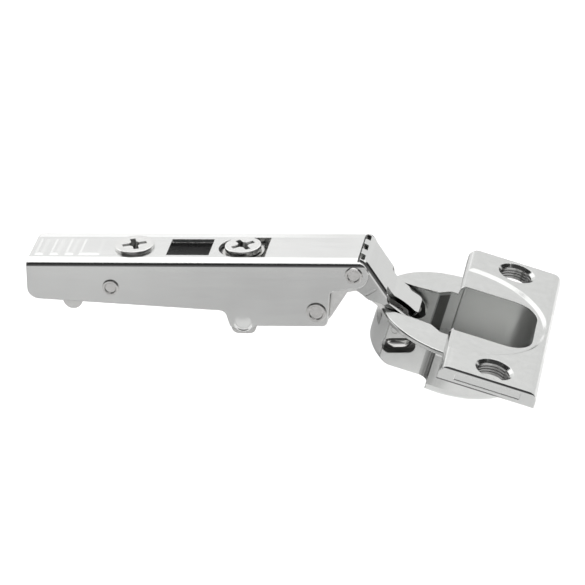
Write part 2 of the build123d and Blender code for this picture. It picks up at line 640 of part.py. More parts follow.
cup_eye_right = (cup_pin_2_x + OUTER_CUP_EYE_R, cup_pin_2_z)
cup_eye_low = (cup_pin_2_x, cup_pin_2_z - OUTER_CUP_EYE_R)
cup_eye_left = (cup_pin_2_x - OUTER_CUP_EYE_R, cup_pin_2_z)
eye_left = around(pivot_a, OUTER_EYE_R, OUTER_EYE_LEFT_ANGLE)
eye_top = around(pivot_a, OUTER_EYE_R, OUTER_EYE_TOP_ANGLE)
eye_middle = around(pivot_a, OUTER_EYE_R, (OUTER_EYE_LEFT_ANGLE + OUTER_EYE_TOP_ANGLE) / 2)
tongue_half = inner_half - INNER_SHEET - TONGUE_GAP
slot_end = around(Vector(*outside[2]), SLOT_START, OUTER_WEB_ANGLE)
flank_line = strap_line(FLANK_DROP)
flank_low = around(Vector(*flank_line[2]), SLOT_START + FLANK_RUN, OUTER_WEB_ANGLE)
with BuildPart() as outer_link:
    with BuildSketch(Plane.XZ) as side:
        with BuildLine():
            ThreePointArc(outside[0], outside[1], outside[2])
            Polyline(outside[2], outside[3], outside[4], cup_eye_right)
            ThreePointArc(cup_eye_right, cup_eye_low, cup_eye_left)
            Polyline(cup_eye_left, at(OUTER_CHEST), at(OUTER_BELLY), at(OUTER_CHIN), eye_left)
            ThreePointArc(eye_left, eye_middle, eye_top)
            Polyline(eye_top, (outside[0][0], eye_top[1]), outside[0])
        make_face()
        fillet(corner(side, outside[3]), OUTER_KNEE_R)
        fillet(corner(side, at(OUTER_BELLY)), OUTER_BELLY_R)
        fillet(corner(side, at(OUTER_CHEST)), OUTER_BELLY_R)
    extrude(amount=outer_half, both=True)
    flank_edges = outer_link.edges().filter_by(lambda edge: abs(edge.center().Y) > outer_inner)
    fillet(flank_edges.filter_by(lambda edge: on_strap(edge.center())), OUTER_BEND_R)
    with BuildSketch(Plane.XZ) as hollow:
        with BuildLine():
            ThreePointArc(inside[0], inside[1], inside[2])
            Polyline(
                inside[2],
                inside[3],
                inside[4],
                outside[4],
                (cup_eye_right[0] + OUTER_SHEET, outside[4][1]),
                (cup_eye_right[0] + OUTER_SHEET, cup_eye_low[1] - OUTER_SHEET),
                (eye_left[0] - OUTER_SHEET, cup_eye_low[1] - OUTER_SHEET),
                (eye_left[0] - OUTER_SHEET, inside[0][1]),
                inside[0],
            )
        make_face()
        fillet(corner(hollow, inside[3]), OUTER_KNEE_R)
    extrude(amount=outer_inner, both=True, mode=Mode.SUBTRACT)
    tip_plane = Plane(
        origin=(outside[3][0], 0, outside[3][1]),
        x_dir=(cos(radians(OUTER_TIP_ANGLE)), 0, sin(radians(OUTER_TIP_ANGLE))),
        z_dir=(tip_out[0], 0, tip_out[1]),
    )
    for way in (-1, 1):
        slot_plane = Plane(
            origin=(slot_end[0], way * tongue_half, slot_end[1]),
            x_dir=(web_out[1], 0, -web_out[0]),
            z_dir=(0, way, 0),
        )
        with BuildSketch(slot_plane):
            Rectangle(2 * OUTER_WEB_L, 2 * OUTER_WEB_L, align=(Align.MIN, Align.CENTER))
        extrude(amount=outer_inner - tongue_half, mode=Mode.SUBTRACT)
        with BuildSketch(tip_plane.offset(OUTER_SHEET)):
            with BuildLine():
                ThreePointArc(
                    (0, way * tongue_half),
                    (OUTER_TIP_L / 2, way * (tongue_half - TONGUE_WAIST)),
                    (OUTER_TIP_L, way * tongue_half),
                )
                Line((OUTER_TIP_L, way * tongue_half), (0, way * tongue_half))
            make_face()
        extrude(amount=-3 * OUTER_SHEET, mode=Mode.SUBTRACT)
        with BuildSketch(Plane.XZ.offset(way * tongue_half)):
            with BuildLine():
                Polyline(
                    slot_end,
                    flank_low,
                    flank_line[3],
                    flank_line[4],
                    cup_eye_right,
                    (cup_eye_right[0], slot_end[1]),
                    close=True,
                )
            make_face()
        extrude(amount=way * outer_half, mode=Mode.SUBTRACT)
        with BuildSketch(Plane.XZ.offset(way * outer_half)):
            with Locations(at(CREASE_LOW), at(CREASE_HIGH)):
                Circle(CREASE_WIDTH / 2)
            make_hull()
        extrude(amount=-way * CREASE_DEPTH, mode=Mode.SUBTRACT)
    tongue_edges = outer_link.edges().filter_by(Axis((0, 0, 0), tip_plane.z_dir))
    fillet(tongue_edges.sort_by(Axis((0, 0, 0), tip_plane.x_dir))[-2:], TONGUE_R)
    for place in (-1, 0, 1):
        with BuildSketch(Plane.XZ.offset(place * OUTER_NOTCH_PITCH)):
            with BuildLine():
                Polyline(
                    around(pivot_a, OUTER_EYE_R, OUTER_NOTCH_ANGLE),
                    around(pivot_a, OUTER_WRAP_R + OUTER_SHEET, OUTER_NOTCH_ANGLE),
                    around(pivot_a, OUTER_WRAP_R + OUTER_SHEET, OUTER_EYE_TOP_ANGLE),
                    around(pivot_a, OUTER_EYE_R, OUTER_EYE_TOP_ANGLE),
                    close=True,
                )
            make_face()
        extrude(amount=OUTER_NOTCH / 2, both=True, mode=Mode.SUBTRACT)
    with BuildSketch(Plane.XZ):
        with Locations((PIVOT_A_X, PIVOT_A_Z)):
            Circle(NOSE_PIN_D / 2 + RUN_GAP)
        with Locations((cup_pin_2_x, cup_pin_2_z)):
            Circle(WIRE_D / 2 + RUN_GAP)
    extrude(amount=ARM_WIDTH, both=True, mode=Mode.SUBTRACT)
outer_link.part.label = "outer_link"
export_step(outer_link.part, "parts/outer_link.step")

# Nose spacer: tube on the nose pin between the outer link's flanks
with BuildPart() as nose_spacer:
    with BuildSketch(across(PIVOT_A_X, PIVOT_A_Z, 0)):
        Circle(NOSE_PIN_D / 2 + FIT_GAP + SPACER_WALL)
        Circle(NOSE_PIN_D / 2 + FIT_GAP, mode=Mode.SUBTRACT)
    extrude(amount=outer_inner - SIDE_GAP, both=True)
nose_spacer.part.label = "nose_spacer"
export_step(nose_spacer.part, "parts/nose_spacer.step")

# Inner link: two hooked flanks joined by a short web over the lower rivet
inner_inner = inner_half - INNER_SHEET
eye_back = around(pivot_b, INNER_EYE_R, INNER_EYE_TOP_ANGLE)
eye_low = around(pivot_b, INNER_EYE_R, INNER_EYE_LOW_ANGLE)
hook_right = (cup_pin_1_x + INNER_CUP_EYE_R, cup_pin_1_z)
hook_left = (cup_pin_1_x - INNER_CUP_EYE_R, cup_pin_1_z)
web_slope = (at(INNER_BACK)[1] - eye_back[1]) / (at(INNER_BACK)[0] - eye_back[0])
web_drop = INNER_WEB * hypot(1, web_slope)
web_start = PIVOT_A_X + INNER_WEB_START
web_stop = PIVOT_A_X + INNER_WEB_END
with BuildPart() as inner_link:
    with BuildSketch(Plane.XZ) as side:
        with BuildLine():
            Polyline(
                eye_back,
                at(INNER_BACK),
                at(INNER_CROWN),
                at(INNER_SHOULDER),
                at(INNER_NECK_OUT),
                hook_right,
            )
            ThreePointArc(hook_right, (cup_pin_1_x, cup_pin_1_z - INNER_CUP_EYE_R), hook_left)
            Polyline(
                hook_left,
                at(INNER_NECK_IN),
                at(INNER_ELBOW),
                at(INNER_ARCH_FRONT),
                at(INNER_ARCH_TOP),
                at(INNER_ARCH_REAR),
                eye_low,
            )
            ThreePointArc(eye_low, around(pivot_b, INNER_EYE_R, INNER_EYE_REAR_ANGLE), eye_back)
        make_face()
        for bend in (INNER_BACK, INNER_SHOULDER, INNER_NECK_OUT, INNER_ELBOW, INNER_ARCH_TOP):
            fillet(corner(side, at(bend)), INNER_ROUND)
    extrude(amount=inner_half, both=True)
    with BuildSketch(Plane.XZ):
        with BuildLine():
            Polyline(
                (web_start, at(INNER_BACK)[1] + web_slope * (web_start - at(INNER_BACK)[0]) - web_drop),
                (at(INNER_BACK)[0], at(INNER_BACK)[1] - web_drop),
                (web_stop, at(INNER_BACK)[1] - web_drop),
                (web_stop, arm_top),
                (cup_line_x, arm_top),
                (cup_line_x, -CUP_DEPTH),
                (seat_rear, -CUP_DEPTH),
                (seat_rear, arm_top),
                (web_start, arm_top),
                close=True,
            )
        make_face()
    extrude(amount=inner_inner, both=True, mode=Mode.SUBTRACT)
    with BuildSketch(Plane.XZ):
        for drift in ((0, 0),) + HOOK_DRIFT:
            with Locations((cup_pin_1_x + drift[0], cup_pin_1_z + drift[1])):
                Circle(WIRE_D / 2 + HOOK_CLEAR)
        make_hull()
        with Locations((pivot_b_x, pivot_b_z)):
            Circle(LOWER_RIVET_D / 2 + RUN_GAP)
    extrude(amount=ARM_WIDTH, both=True, mode=Mode.SUBTRACT)
inner_link.part.label = "inner_link"
export_step(inner_link.part, "parts/inner_link.step")

# Spacer and washers on the lower rivet, inside and outside the inner link
with BuildPart() as lower_spacer:
    with BuildSketch(across(pivot_b_x, pivot_b_z, 0)):
        Circle(LOWER_RIVET_D / 2 + FIT_GAP + SPACER_WALL)
        Circle(LOWER_RIVET_D / 2 + FIT_GAP, mode=Mode.SUBTRACT)
    extrude(amount=inner_inner - SIDE_GAP, both=True)
lower_spacer.part.label = "lower_spacer"
export_step(lower_spacer.part, "parts/lower_spacer.step")

with BuildPart() as lower_washers:
    for way in (-1, 1):
        with BuildSketch(across(pivot_b_x, pivot_b_z, way * shell_inner)):
            Circle(LOWER_RIVET_D / 2 + FIT_GAP + WASHER_WALL)
            Circle(LOWER_RIVET_D / 2 + FIT_GAP, mode=Mode.SUBTRACT)
        extrude(amount=way * (inner_half + SIDE_GAP - shell_inner))
lower_washers.part.label = "lower_washers"
export_step(lower_washers.part, "parts/lower_washers.step")

# Spring seat: block across the arm that holds the root of the closing spring
spring_z = seat_top - SEAT_HEIGHT / 2
spring_half = shell_inner - SPRING_SIDE
with BuildPart() as spring_seat:
    with BuildSketch(Plane.XZ):
        with Locations(((seat_rear + seat_front) / 2, spring_z)):
            RectangleRounded(seat_front - seat_rear, SEAT_HEIGHT, SEAT_R)
    extrude(amount=shell_inner - FIT_GAP, both=True)
    with BuildSketch(Plane.XZ):
        with Locations((seat_front, spring_z)):
            Rectangle(2 * SPRING_HOLD, SPRING_SHEET + 2 * FIT_GAP)
    extrude(amount=spring_half + FIT_GAP, both=True, mode=Mode.SUBTRACT)
spring_seat.part.label = "spring_seat"
export_step(spring_seat.part, "parts/spring_seat.step")

# Closing spring: bent leaf that bears on the heel of the inner link
spring_root = (seat_front - SPRING_HOLD + FIT_GAP, spring_z)
leaf_gap = INNER_EYE_R + SIDE_GAP + SPRING_SHEET / 2
leaf_touch = around(pivot_b, leaf_gap, SPRING_ANGLE)
leaf_bend = around(Vector(*leaf_touch), SPRING_TIP_L, SPRING_ANGLE - 90)
with BuildPart() as closing_spring:
    with BuildLine(Plane.XZ) as leaf:
        FilletPolyline(
            spring_root,
            (leaf_bend[0], spring_z),
            around(Vector(*leaf_touch), SPRING_TIP_L / 2, SPRING_ANGLE + 90),
            radius=SPRING_BEND_R,
        )
    with BuildSketch(Plane(origin=leaf.line @ 0, x_dir=(0, 1, 0), z_dir=leaf.line % 0)):
        Rectangle(2 * spring_half, SPRING_SHEET)
    sweep(path=leaf.line)
closing_spring.part.label = "closing_spring"
export_step(closing_spring.part, "parts/closing_spring.step")

# Cup: die-cast bowl with a flange, a throat for the links and a mouth cut through its rim
cup_axis = Axis((cup_line_x, 0, cup_line_z), cup_plane.z_dir)
cup_centre = (CUP_FRONT_U + CUP_BODY_R, 0)
cup_back_u = CUP_FRONT_U + 2 * CUP_BODY_R
flange_u_max = cup_back_u + FLANGE_REACH
hole_pitch = 2 * (CUP_BODY_R + CUP_HOLE_SIDE)
flange_length = hole_pitch + 2 * FLANGE_END
dish_r = CUP_BODY_R + DISH_REACH
pocket_u_max = cup_back_u - POCKET_WALL
throat_narrow = outer_half + THROAT_GAP
throat_wide = throat_narrow + THROAT_WIDE
throat_flare = throat_narrow + THROAT_FLARE
wire_out = SIDE_FLAT - WIRE_SINK
pin_span = hypot(cup_pin_1_x - cup_pin_2_x, cup_pin_1_z - cup_pin_2_z)
pin_dir = ((cup_pin_1_x - cup_pin_2_x) / pin_span, 0, (cup_pin_1_z - cup_pin_2_z) / pin_span)
with BuildPart() as hinge_cup:
    with BuildSketch(cup_plane.offset(-CUP_DEPTH)):
        with Locations(cup_centre):
            Circle(CUP_BODY_R)
    extrude(amount=CUP_DEPTH - FLANGE_H)
    fillet(hinge_cup.edges().sort_by(cup_axis)[0], CUP_BOTTOM_EDGE)
    with BuildSketch(cup_plane.offset(-FLANGE_H)):
        with Locations(cup_centre):
            Circle(CUP_BODY_R + CUP_ROOT_H * tan(radians(CUP_ROOT_TAPER)))
    extrude(amount=-CUP_ROOT_H, taper=CUP_ROOT_TAPER)
    for way in (-1, 1):
        with BuildSketch(cup_plane.offset(-CUP_DEPTH)) as flat:
            with Locations((SIDE_FLAT_U, way * (SIDE_FLAT + CUP_BODY_R / 2))):
                Rectangle(CUP_BODY_R, CUP_BODY_R, align=(Align.MAX, Align.CENTER))
            fillet(corner(flat, (SIDE_FLAT_U, way * SIDE_FLAT)), SIDE_FLAT_R)
        extrude(amount=CUP_DEPTH - FLANGE_H, mode=Mode.SUBTRACT)
    with BuildSketch(cup_plane.offset(-FLANGE_H)):
        with Locations(cup_centre):
            Circle(CUP_BODY_R + CUP_RIM)
    extrude(amount=FLANGE_H - RIM_DROP)
    fillet(hinge_cup.faces().sort_by(cup_axis)[-1].edges(), RIM_EDGE_R)
    with BuildSketch(cup_plane.offset(-FLANGE_H)):
        with Locations(((FLANGE_U_MIN + flange_u_max) / 2, 0)):
            Rectangle(flange_u_max - FLANGE_U_MIN, flange_length)
    extrude(amount=FLANGE_H)
    top_edges = hinge_cup.faces().sort_by(cup_axis)[-1].edges()
    fillet(top_edges.filter_by(Axis.Y), FLANGE_ROLL_R)
    fillet(hinge_cup.faces().group_by(Axis.Y)[0].edges().group_by(cup_axis)[-1], FLANGE_EDGE_R)
    fillet(hinge_cup.faces().group_by(Axis.Y)[-1].edges().group_by(cup_axis)[-1], FLANGE_EDGE_R)
    for way in (-1, 1):
        end_plane = Plane(
            origin=(cup_plane.origin.X, way * flange_length / 2, cup_plane.origin.Z),
            x_dir=cup_plane.x_dir,
            z_dir=(0, way, 0),
        )
        with BuildSketch(end_plane):
            with Locations(((FLANGE_U_MIN + flange_u_max) / 2, way * FLANGE_H / 2)):
                Rectangle(flange_u_max - FLANGE_U_MIN - 2 * PANEL_SIDE, FLANGE_H - 2 * PANEL_EDGE)
        extrude(amount=-PANEL_DEPTH, mode=Mode.SUBTRACT)
    with BuildSketch(cup_plane.offset(-DISH_DROP)):
        with Locations(cup_centre):
            Circle(dish_r - DISH_SLOPE)
    with BuildSketch(cup_plane):
        with Locations(cup_centre):
            Circle(dish_r)
    loft(mode=Mode.SUBTRACT)
    with BuildSketch(cup_plane) as pocket:
        with Locations(((POCKET_U_MIN + pocket_u_max) / 2, 0)):
            Rectangle(pocket_u_max - POCKET_U_MIN, POCKET_WIDTH)
        fillet(pocket.vertices().group_by(Axis.X)[-1], POCKET_R)
        fillet(pocket.vertices().group_by(Axis.X)[0], POCKET_REAR_R)
    extrude(amount=-CUP_FLOOR, mode=Mode.SUBTRACT)
    with BuildSketch(cup_plane):
        with BuildLine():
            Polyline(
                (POCKET_U_MIN, throat_flare),
                (THROAT_FLARE_U, throat_flare),
                (THROAT_WIDE_U, throat_wide),
                (THROAT_NARROW_U, throat_narrow),
                (MOUTH_U, throat_narrow),
                (MOUTH_U, -throat_narrow),
                (THROAT_NARROW_U, -throat_narrow),
                (THROAT_WIDE_U, -throat_wide),
                (THROAT_FLARE_U, -throat_flare),
                (POCKET_U_MIN, -throat_flare),
                close=True,
            )
        make_face()
        with Locations(cup_centre):
            Circle(CUP_BODY_R - CUP_WALL, mode=Mode.INTERSECT)
    extrude(amount=-CUP_FLOOR, mode=Mode.SUBTRACT)
    with BuildSketch(cup_plane):
        with Locations((MOUTH_U, 0)):
            Rectangle(THROAT_NARROW_U - MOUTH_U, 2 * throat_narrow, align=(Align.MIN, Align.CENTER))
    extrude(amount=-MOUTH_DROP, mode=Mode.SUBTRACT)
    with BuildSketch(cup_plane):
        with Locations(((RELIEF_U_MIN + RELIEF_U_MAX) / 2, 0)):
            Rectangle(RELIEF_U_MAX - RELIEF_U_MIN, 2 * (inner_half + RELIEF_SIDE))
    extrude(amount=-RELIEF_DROP, mode=Mode.SUBTRACT)
    with BuildSketch(cup_plane):
        with GridLocations(0, hole_pitch, 1, 2):
            Circle(BORE_R)
    extrude(amount=-CUP_DEPTH, mode=Mode.SUBTRACT)
    round_edges = hinge_cup.edges().filter_by(GeomType.CIRCLE)
    bore_edges = round_edges.filter_by(lambda edge: abs(edge.radius - BORE_R) < FIT_GAP)
    chamfer(bore_edges.group_by(cup_axis)[-1], BORE_LIP)
    for way in (-1, 1):
        wall_plane = Plane(
            origin=(cup_pin_2_x, way * SIDE_FLAT, cup_pin_2_z),
            x_dir=pin_dir,
            z_dir=(0, way, 0),
        )
        pocket_y = -way * WIRE_POCKET_DROP
        with BuildSketch(wall_plane):
            with Locations((0, pocket_y), (pin_span, pocket_y)):
                Circle(WIRE_POCKET_R)
            make_hull()
        extrude(amount=-WIRE_POCKET_DEPTH, mode=Mode.SUBTRACT)
    with BuildSketch(Plane.XZ):
        with Locations((cup_pin_1_x, cup_pin_1_z), (cup_pin_2_x, cup_pin_2_z)):
            Circle(WIRE_D / 2 + FIT_GAP)
    extrude(amount=SIDE_FLAT, both=True, mode=Mode.SUBTRACT)
hinge_cup.part.label = "hinge_cup"
export_step(hinge_cup.part, "parts/hinge_cup.step")

# Wire pins: one bent wire on each side of the cup, its two legs are the pivots of the links
pin_plane = Plane(
    origin=(cup_pin_2_x, 0, cup_pin_2_z),
    x_dir=pin_dir,
    z_dir=(-pin_dir[2], 0, pin_dir[0]),
)
with BuildPart() as wire_pins:
    for way in (-1, 1):
        with BuildLine(pin_plane) as wire:
            FilletPolyline(
                (0, way * (outer_inner + SIDE_GAP)),
                (0, way * wire_out),
                (pin_span, way * wire_out),
                (pin_span, way * (inner_inner - WIRE_END_GAP)),
                radius=WIRE_BEND_R,
            )
        with BuildSketch(across(cup_pin_2_x, cup_pin_2_z, way * (outer_inner + SIDE_GAP))):
            Circle(WIRE_D / 2)
        sweep(path=wire.line)
wire_pins.part.label = "wire_pins"
export_step(wire_pins.part, "parts/wire_pins.step")
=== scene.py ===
import math

import bpy
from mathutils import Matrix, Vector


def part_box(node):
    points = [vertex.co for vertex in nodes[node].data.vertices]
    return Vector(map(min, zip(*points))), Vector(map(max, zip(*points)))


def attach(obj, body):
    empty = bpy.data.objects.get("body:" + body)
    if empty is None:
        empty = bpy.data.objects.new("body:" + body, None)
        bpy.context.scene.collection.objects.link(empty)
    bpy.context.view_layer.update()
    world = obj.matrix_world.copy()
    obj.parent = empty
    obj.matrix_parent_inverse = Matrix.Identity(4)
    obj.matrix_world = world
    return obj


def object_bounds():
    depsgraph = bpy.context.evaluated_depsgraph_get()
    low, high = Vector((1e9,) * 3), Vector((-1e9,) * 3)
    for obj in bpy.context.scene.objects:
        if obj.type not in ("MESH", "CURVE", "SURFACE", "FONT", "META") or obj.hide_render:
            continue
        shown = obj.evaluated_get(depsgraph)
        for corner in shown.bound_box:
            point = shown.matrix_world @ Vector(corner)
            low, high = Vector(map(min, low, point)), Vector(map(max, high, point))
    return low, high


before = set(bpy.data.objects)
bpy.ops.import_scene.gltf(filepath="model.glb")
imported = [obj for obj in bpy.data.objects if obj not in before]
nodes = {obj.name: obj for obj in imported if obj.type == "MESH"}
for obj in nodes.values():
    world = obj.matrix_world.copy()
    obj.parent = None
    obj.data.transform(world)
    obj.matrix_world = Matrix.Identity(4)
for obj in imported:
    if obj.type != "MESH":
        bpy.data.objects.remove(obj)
cad_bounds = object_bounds()

# Clip carrier: the inner channel that snaps over the mounting plate and carries the nut and
# the collar. Pressed from spring sheet; painted shade darkens the inside of the channel above
# its hooks and behind its front end.
MM = 0.001
EVEN = (1, 1, 1)
EDGE_ROUND = 0.12 * MM
EDGE_SAMPLES = 4
GRAIN_DETAIL = 4.0
RELIEF_DEPTH = 0.02 * MM
DRIFT_GRAIN = 0.07
CHANNEL_SHADE_TONE = (0.11, 0.11, 0.11)
CHANNEL_SHADE_START_Z = 4.0 * MM
CHANNEL_SHADE_FULL_Z = 7.5 * MM
CHANNEL_SHADE_END_X = 1.0 * MM


def link(tree, source, target):
    """Joins an output socket to an input socket."""
    tree.links.new(source, target)


def number(tree, operation, *values):
    """A math node fed with sockets or plain numbers."""
    node = tree.nodes.new("ShaderNodeMath")
    node.operation = operation
    for socket, value in zip(node.inputs, values):
        if isinstance(value, (int, float)):
            socket.default_value = value
        else:
            link(tree, value, socket)
    return node.outputs["Value"]


def above(tree, value, limit):
    """1 where a value is over its limit."""
    return number(tree, "GREATER_THAN", value, limit)


def below(tree, value, limit):
    """1 where a value is under its limit."""
    return number(tree, "LESS_THAN", value, limit)


def all_of(tree, share, *others):
    """Shares multiplied, so 1 only where each of them is 1."""
    for other in others:
        share = number(tree, "MULTIPLY", share, other)
    return share


def rising(tree, value, start, end):
    """0 at start, 1 at end, even in between and level outside."""
    ramp = tree.nodes.new("ShaderNodeMapRange")
    ramp.inputs["From Min"].default_value = start
    ramp.inputs["From Max"].default_value = end
    link(tree, value, ramp.inputs["Value"])
    return ramp.outputs["Result"]


def place_in(tree, origin=(0, 0, 0), tilt=0.0):
    """X, Y and Z of a shaded point in the part's frame, or in one moved and tilted about Y."""
    coords = tree.nodes.new("ShaderNodeTexCoord")
    local = tree.nodes.new("ShaderNodeMapping")
    local.vector_type = "TEXTURE"
    local.inputs["Location"].default_value = origin
    local.inputs["Rotation"].default_value = (0, tilt, 0)
    parts = tree.nodes.new("ShaderNodeSeparateXYZ")
    link(tree, coords.outputs["Object"], local.inputs["Vector"])
    link(tree, local.outputs["Vector"], parts.inputs["Vector"])
    return [parts.outputs[axis] for axis in "XYZ"]


def plated(name, light, dull, rough, grain, stretch=EVEN, relief=0.1, edge=EDGE_ROUND, drift=0.0):
    """Plated metal: tone and gloss follow a stretched noise and a slow drift."""
    material = bpy.data.materials.new(name)
    material.use_nodes = True
    tree = material.node_tree
    shader = tree.nodes["Principled BSDF"]
    shader.inputs["Metallic"].default_value = 1.0
    coords = tree.nodes.new("ShaderNodeTexCoord")
    mapping = tree.nodes.new("ShaderNodeMapping")
    mapping.inputs["Scale"].default_value = stretch
    noise = tree.nodes.new("ShaderNodeTexNoise")
    noise.inputs["Scale"].default_value = grain / MM
    noise.inputs["Detail"].default_value = GRAIN_DETAIL
    slow = tree.nodes.new("ShaderNodeTexNoise")
    slow.inputs["Scale"].default_value = DRIFT_GRAIN / MM
    cloud = tree.nodes.new("ShaderNodeMix")
    cloud.inputs["Factor"].default_value = drift
    tone = tree.nodes.new("ShaderNodeMix")
    tone.data_type = "RGBA"
    tone.inputs["A"].default_value = (*dull, 1)
    tone.inputs["B"].default_value = (*light, 1)
    gloss = tree.nodes.new("ShaderNodeMapRange")
    gloss.inputs["To Min"].default_value = rough[0]
    gloss.inputs["To Max"].default_value = rough[1]
    bevel = tree.nodes.new("ShaderNodeBevel")
    bevel.samples = EDGE_SAMPLES
    bevel.inputs["Radius"].default_value = edge
    bump = tree.nodes.new("ShaderNodeBump")
    bump.inputs["Strength"].default_value = relief
    bump.inputs["Distance"].default_value = RELIEF_DEPTH
    link(tree, coords.outputs["Object"], mapping.inputs["Vector"])
    link(tree, mapping.outputs["Vector"], noise.inputs["Vector"])
    link(tree, coords.outputs["Object"], slow.inputs["Vector"])
    link(tree, noise.outputs["Fac"], cloud.inputs["A"])
    link(tree, slow.outputs["Fac"], cloud.inputs["B"])
    link(tree, cloud.outputs["Result"], tone.inputs["Factor"])
    link(tree, noise.outputs["Fac"], gloss.inputs["Value"])
    link(tree, noise.outputs["Fac"], bump.inputs["Height"])
    link(tree, bevel.outputs["Normal"], bump.inputs["Normal"])
    link(tree, gloss.outputs["Result"], shader.inputs["Roughness"])
    link(tree, bump.outputs["Normal"], shader.inputs["Normal"])
    link(tree, tone.outputs["Result"], shader.inputs["Base Color"])
    return material


def toned(material, tone, share):
    """Lays a tone over a finish by a share from 0 to 1."""
    tree = material.node_tree
    base = tree.nodes["Principled BSDF"].inputs["Base Color"]
    bright = base.links[0].from_socket
    shade = tree.nodes.new("ShaderNodeMix")
    shade.data_type = "RGBA"
    shade.inputs["B"].default_value = (*tone, 1)
    link(tree, bright, shade.inputs["A"])
    link(tree, share, shade.inputs["Factor"])
    link(tree, shade.outputs["Result"], base)


def dress(names, material):
    """Puts one finish on every material slot of the named CAD nodes."""
    for node_name in names:
        mesh = nodes[node_name].data
        mesh.materials.clear()
        mesh.materials.append(material)


carrier_finish = plated(
    "carrier_finish",
    light=(0.62, 0.615, 0.605),
    dull=(0.52, 0.515, 0.505),
    rough=(0.22, 0.34),
    grain=0.9,
    stretch=(0.3, 1, 1),
)
carrier_tree = carrier_finish.node_tree
carrier_x, _, carrier_z = place_in(carrier_tree)
# Painted shade: the inside of the channel darkens from the hooks upward, short of the front end.
painted_channel_shade = all_of(
    carrier_tree,
    rising(carrier_tree, carrier_z, CHANNEL_SHADE_START_Z, CHANNEL_SHADE_FULL_Z),
    below(carrier_tree, carrier_x, CHANNEL_SHADE_END_X),
)
toned(carrier_finish, CHANNEL_SHADE_TONE, painted_channel_shade)
dress(["clip_carrier"], carrier_finish)

# Clamp nut and side collar: turned steel pieces held by the carrier under the arm's top, zinc
# plated. The nut pulls the arm tight on the carrier, the collar carries the side screw.
turned_steel = plated(
    "turned_steel",
    light=(0.6, 0.595, 0.58),
    dull=(0.5, 0.495, 0.48),
    rough=(0.2, 0.3),
    grain=1.2,
)
dress(["clamp_nut", "side_collar"], turned_steel)

# Adjusting screws: cold-headed steel with a cross recess, plated bright, with painted shade
# down in the recess. The rear one clamps the arm's depth, the front one shifts it sideways
# in its window.
RECESS_SHADE_TONE = (0.3, 0.3, 0.295)
RECESS_R = 2.75 * MM
RECESS_START = 0.04 * MM
RECESS_FULL = 0.3 * MM


def within(tree, x, y, centre, radius):
    """1 inside a circle about a centre in X and Y."""
    across = number(tree, "SUBTRACT", x, centre[0])
    along = number(tree, "SUBTRACT", y, centre[1])
    square = number(tree, "MULTIPLY_ADD", across, across, number(tree, "MULTIPLY", along, along))
    return below(tree, square, radius**2)


for screw in ("depth_screw", "side_screw"):
    screw_finish = plated(
        screw + "_finish",
        light=(0.75, 0.748, 0.738),
        dull=(0.67, 0.668, 0.658),
        rough=(0.16, 0.26),
        grain=1.1,
    )
    screw_tree = screw_finish.node_tree
    screw_low, screw_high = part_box(screw)
    screw_axis = [(low + high) / 2 for low, high in zip(screw_low, screw_high)]
    screw_x, screw_y, screw_z = place_in(screw_tree)
    head_z = screw_high[2]
    # Painted shade: darker down in the cross recess about the screw's axis.
    painted_recess_shade = all_of(
        screw_tree,
        rising(screw_tree, screw_z, head_z - RECESS_START, head_z - RECESS_FULL),
        within(screw_tree, screw_x, screw_y, screw_axis, RECESS_R),
    )
    toned(screw_finish, RECESS_SHADE_TONE, painted_recess_shade)
    dress([screw], screw_finish)

# Release lever: the folded finger piece at the rear that frees the clip, of satin sheet.
# Its coil spring of hard drawn wire sits between the lever's pad and the carrier.
lever_finish = plated(
    "lever_finish",
    light=(0.7, 0.695, 0.685),
    dull=(0.63, 0.625, 0.61),
    rough=(0.2, 0.3),
    grain=0.8,
    stretch=(0.2, 1, 1),
)
dress(["release_lever"], lever_finish)
spring_wire = plated(
    "spring_wire",
    light=(0.5, 0.49, 0.47),
    dull=(0.38, 0.37, 0.36),
    rough=(0.18, 0.3),
    grain=1.5,
    relief=0.05,
)
dress(["lever_spring"], spring_wire)

# Arm shell: the long pressed channel over the screws, nickel plated after forming, with the
# drawn grain of the sheet along it and a painted dark reflection as a line under each bend.
# The button on each lobe is punched out from inside, steep below and running out to nothing at
# the top.
ARM_EDGE = 0.3 * MM
BEND_REFLECTION_TONE = (0.13, 0.13, 0.13)
BEND_LINE_LOW = 16.1 * MM
BEND_LINE_FULL = 16.3 * MM
BEND_LINE_TOP = 16.8 * MM
BEND_LINE_Y = 7.2 * MM
BUTTON_X = 0.3 * MM
BUTTON_Z = 3.15 * MM
BUTTON_R = 2.2 * MM
BUTTON_RAISE = 0.42 * MM
BUTTON_SINK = 0.005 * MM
BUTTON_LIP = 0.6
BUTTON_RINGS = 18
BUTTON_SECTORS = 48

arm_satin = plated(
    "arm_satin",
    light=(0.79, 0.793, 0.785),
    dull=(0.645, 0.648, 0.64),
    rough=(0.15, 0.21),
    grain=0.8,
    stretch=(0.12, 1, 1),
    relief=0.05,
    edge=ARM_EDGE,
    drift=0.8,
)
arm_tree = arm_satin.node_tree
_, arm_y, arm_z = place_in(arm_tree)
# Painted reflection: a dark line just under each side bend of the arm.
painted_bend_reflection = all_of(
    arm_tree,
    rising(arm_tree, arm_z, BEND_LINE_LOW, BEND_LINE_FULL),
    below(arm_tree, arm_z, BEND_LINE_TOP),
    above(arm_tree, number(arm_tree, "ABSOLUTE", arm_y), BEND_LINE_Y),
)
toned(arm_satin, BEND_REFLECTION_TONE, painted_bend_reflection)
dress(["arm_shell"], arm_satin)


def smooth_step(value, low, high):
    """Eases from 0 to 1 between two values."""
    share = min(max((value - low) / (high - low), 0.0), 1.0)
    return share * share * (3 - 2 * share)


def smooth_piece(name, mesh):
    """Shows a mesh as one smooth-shaded piece."""
    for face in mesh.polygons:
        face.use_smooth = True
    piece = bpy.data.objects.new(name, mesh)
    bpy.context.collection.objects.link(piece)
    return piece


